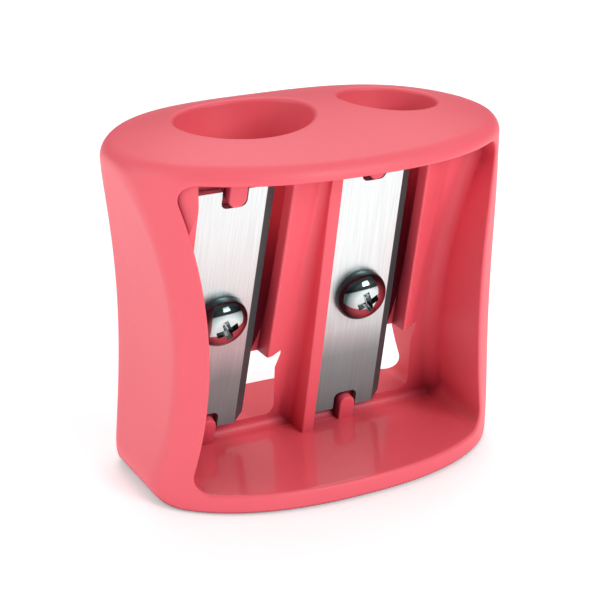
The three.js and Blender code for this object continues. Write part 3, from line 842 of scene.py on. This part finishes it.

# %% [markdown]
# ## Blade steel
#
# A blade is finished on a belt that runs along its length. The belt leaves fine lines, which a
# noise stretched along the blade gives. High on the blade the steel mirrors the bright room, and
# low down it mirrors the shaded bay; this is a painted reflection, which turns the colour grey
# towards the bottom. The ground bevel is painted darker, as painted shade.

# %% Blade steel
def steel(name, unit):
    """Belt-finished steel, its colour greyed low down as a painted reflection, and its ground bevel
    painted darker as painted shade.
    """
    material, shader, place = new_material(name)
    brushed = place.make("ShaderNodeMapping", {"vector_type": "TEXTURE"}, Vector=place,
                         Rotation=(unit.tilt, 0, 0), Scale=(1 / 9000, 1 / 9000, 1 / 160))
    lines = place.make("ShaderNodeTexNoise", Vector=place.out(brushed), Scale=1.0, Detail=4.0)
    lines = place.out(lines)
    parts = place.make("ShaderNodeSeparateXYZ", None, Vector=place)
    height = place.out(parts, "Z") * (1 / (HEIGHT * MM))
    # Painted reflection: the colour turns grey towards the bottom, in place of the shaded bay the steel
    # would mirror.
    painted_reflection_fade = ramp(height, (0.10, (0.20, 0.31, 0.31)), (0.27, (0.34, 0.50, 0.50)),
                (0.36, (0.72, 0.86, 0.86)), (0.47, (0.88, 0.95, 0.95)))
    bevel = (place.out(parts, "X") - (unit.x - BEVEL) * MM) * 20000.0
    bevel = place.out(place.make("ShaderNodeClamp", None, Value=bevel), 0)
    # Painted shade: the ground bevel's colour is painted darker.
    painted_bevel_shade = ramp(height, (0.10, (0.05, 0.085, 0.087)), (0.9, (0.06, 0.10, 0.102)))
    mix = place.make("ShaderNodeMix", {"data_type": "RGBA"}, _0=bevel, _6=painted_reflection_fade, _7=painted_bevel_shade)
    shade = ramp(lines, (0.3, 0.84), (0.7, 1.0))
    final = place.make("ShaderNodeMix", {"data_type": "RGBA", "blend_type": "MULTIPLY"}, _0=1.0,
                       _6=place.out(mix, 2), _7=shade)
    place.tree.links.new(final.outputs[2], shader.inputs["Base Color"])
    metal = ramp(height, (0.15, 0.25), (0.5, 0.95))
    metal = place.make("ShaderNodeMath", {"operation": "MULTIPLY"}, _0=metal, _1=1.0 - bevel * 0.7)
    place.tree.links.new(metal.outputs[0], shader.inputs["Metallic"])
    rough = 0.30 + lines * 0.14
    place.tree.links.new(rough.socket, shader.inputs["Roughness"])
    bump = place.make("ShaderNodeBump", None, Strength=0.12, Distance=0.00001, Height=lines)
    place.tree.links.new(bump.outputs["Normal"], shader.inputs["Normal"])
    return material


# %% [markdown]
# ## Chrome
#
# Plating makes the dome of a screw a small round mirror. Towards the rim its colour is painted
# duller and darker as painted shade, so the tint falls off with the distance from the screw's axis.

# %% Chrome
def chrome(name, unit):
    """Chrome that is bright on the dome, with painted shade darkening it towards the head's rim."""
    material, shader, place = new_material(name)
    centre = unit.matrix @ Vector((-BLADE_WIDTH / 2, 0, unit.along(BLADE_TOP) - SCREW_DROP)) * MM
    axis = unit.matrix.to_3x3() @ Vector((0, -1, 0))
    arm = place.make("ShaderNodeVectorMath", {"operation": "SUBTRACT"}, _0=place, _1=centre)
    across = place.make("ShaderNodeVectorMath", {"operation": "CROSS_PRODUCT"},
                        _0=place.out(arm), _1=axis)
    length = place.make("ShaderNodeVectorMath", {"operation": "LENGTH"}, _0=place.out(across))
    radius = place.out(length, "Value") * (1 / (HEAD_RADIUS * MM))
    cloud = place.out(place.make("ShaderNodeTexNoise", Vector=place, Scale=700.0, Detail=3.0))
    # Painted shade: the tint is painted darker towards the head's rim.
    tint = ramp(radius, (0.50, (0.66, 0.70, 0.70)), (0.74, (0.26, 0.32, 0.32)),
                (0.84, (0.05, 0.075, 0.077)))
    place.tree.links.new(tint.socket, shader.inputs["Base Color"])
    rough = 0.05 + cloud * 0.09
    place.tree.links.new(rough.socket, shader.inputs["Roughness"])
    shader.inputs["Metallic"].default_value = 1.0
    return material


# %% [markdown]
# ## Finish every piece
#
# Each fine piece takes its finish, rides the one rigid body and stands in for its CAD node. The
# sharpener has no moving part, so every piece rides the root.

# %% Finish, ride and replace
def finish_piece(piece, material, node):
    piece.data.materials.clear()
    piece.data.materials.append(material)
    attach(piece, "root")
    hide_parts(node)


finish_piece(shell, coral, "moulded_body")
for unit, piece in zip(UNITS, blades):
    finish_piece(piece, steel("steel_" + unit.name, unit), "blade_" + unit.name)
for unit, piece in zip(UNITS, screws):
    finish_piece(piece, chrome("chrome_" + unit.name, unit), "screw_" + unit.name)

print("finished", [piece.name for piece in [shell, *blades, *screws]])

# %% [markdown]
# ## Floor and light
#
# The sharpener stands on a plain white sweep. A soft box in front lights the blades and the web
# behind them, a second one fills the scooped end on the left, and a third one overhead draws the
# sheen of the domed top. A pale room fills the rest and gives the steel something to mirror.

# %% Floor and light
def add_floor():
    bm = bmesh.new()
    bmesh.ops.create_grid(bm, x_segments=1, y_segments=1, size=2.0)
    mesh = bpy.data.meshes.new("floor")
    bm.to_mesh(mesh)
    bm.free()
    floor = bpy.data.objects.new("floor", mesh)
    bpy.context.scene.collection.objects.link(floor)
    material, shader, _ = new_material("pale_floor")
    shader.inputs["Base Color"].default_value = (0.95, 0.95, 0.95, 1)
    shader.inputs["Roughness"].default_value = 0.9
    shader.inputs["Emission Color"].default_value = (1, 1, 1, 1)
    shader.inputs["Emission Strength"].default_value = 0.3
    floor.data.materials.append(material)


def add_area(name, place, aim, size, power):
    data = bpy.data.lights.new(name, "AREA")
    data.shape = "RECTANGLE"
    data.size, data.size_y = size
    data.energy = power
    light = bpy.data.objects.new(name, data)
    light.location = place
    light.rotation_mode = "QUATERNION"
    light.rotation_quaternion = (Vector(place) - Vector(aim)).to_track_quat("Z", "Y")
    bpy.context.scene.collection.objects.link(light)


def add_world(strength):
    """A pale room: bright overhead, and darker at the height of the object."""
    world = bpy.data.worlds.new("studio")
    world.use_nodes = True
    tree = world.node_tree
    place = Node(tree, tree.nodes.new("ShaderNodeTexCoord").outputs["Generated"])
    up = place.out(place.make("ShaderNodeSeparateXYZ", None, Vector=place), "Z")
    sky = ramp(up, (0.0, 0.12), (0.15, 0.14), (0.5, 0.70), (0.9, 1.0))
    tree.links.new(sky.socket, tree.nodes["Background"].inputs["Color"])
    tree.nodes["Background"].inputs["Strength"].default_value = strength
    bpy.context.scene.world = world


add_floor()
add_area("key", (0.15, -0.43, 0.23), (0, 0, 0.015), (0.20, 0.20), 1.15)
add_area("left_fill", (-0.42, 0.06, 0.14), (0, 0, 0.015), (0.30, 0.25), 0.58)
add_area("top", (0.12, 0.22, 0.42), (0, 0, 0.015), (0.35, 0.35), 0.75)
add_world(0.62)
bpy.context.scene.view_settings.view_transform = "Standard"
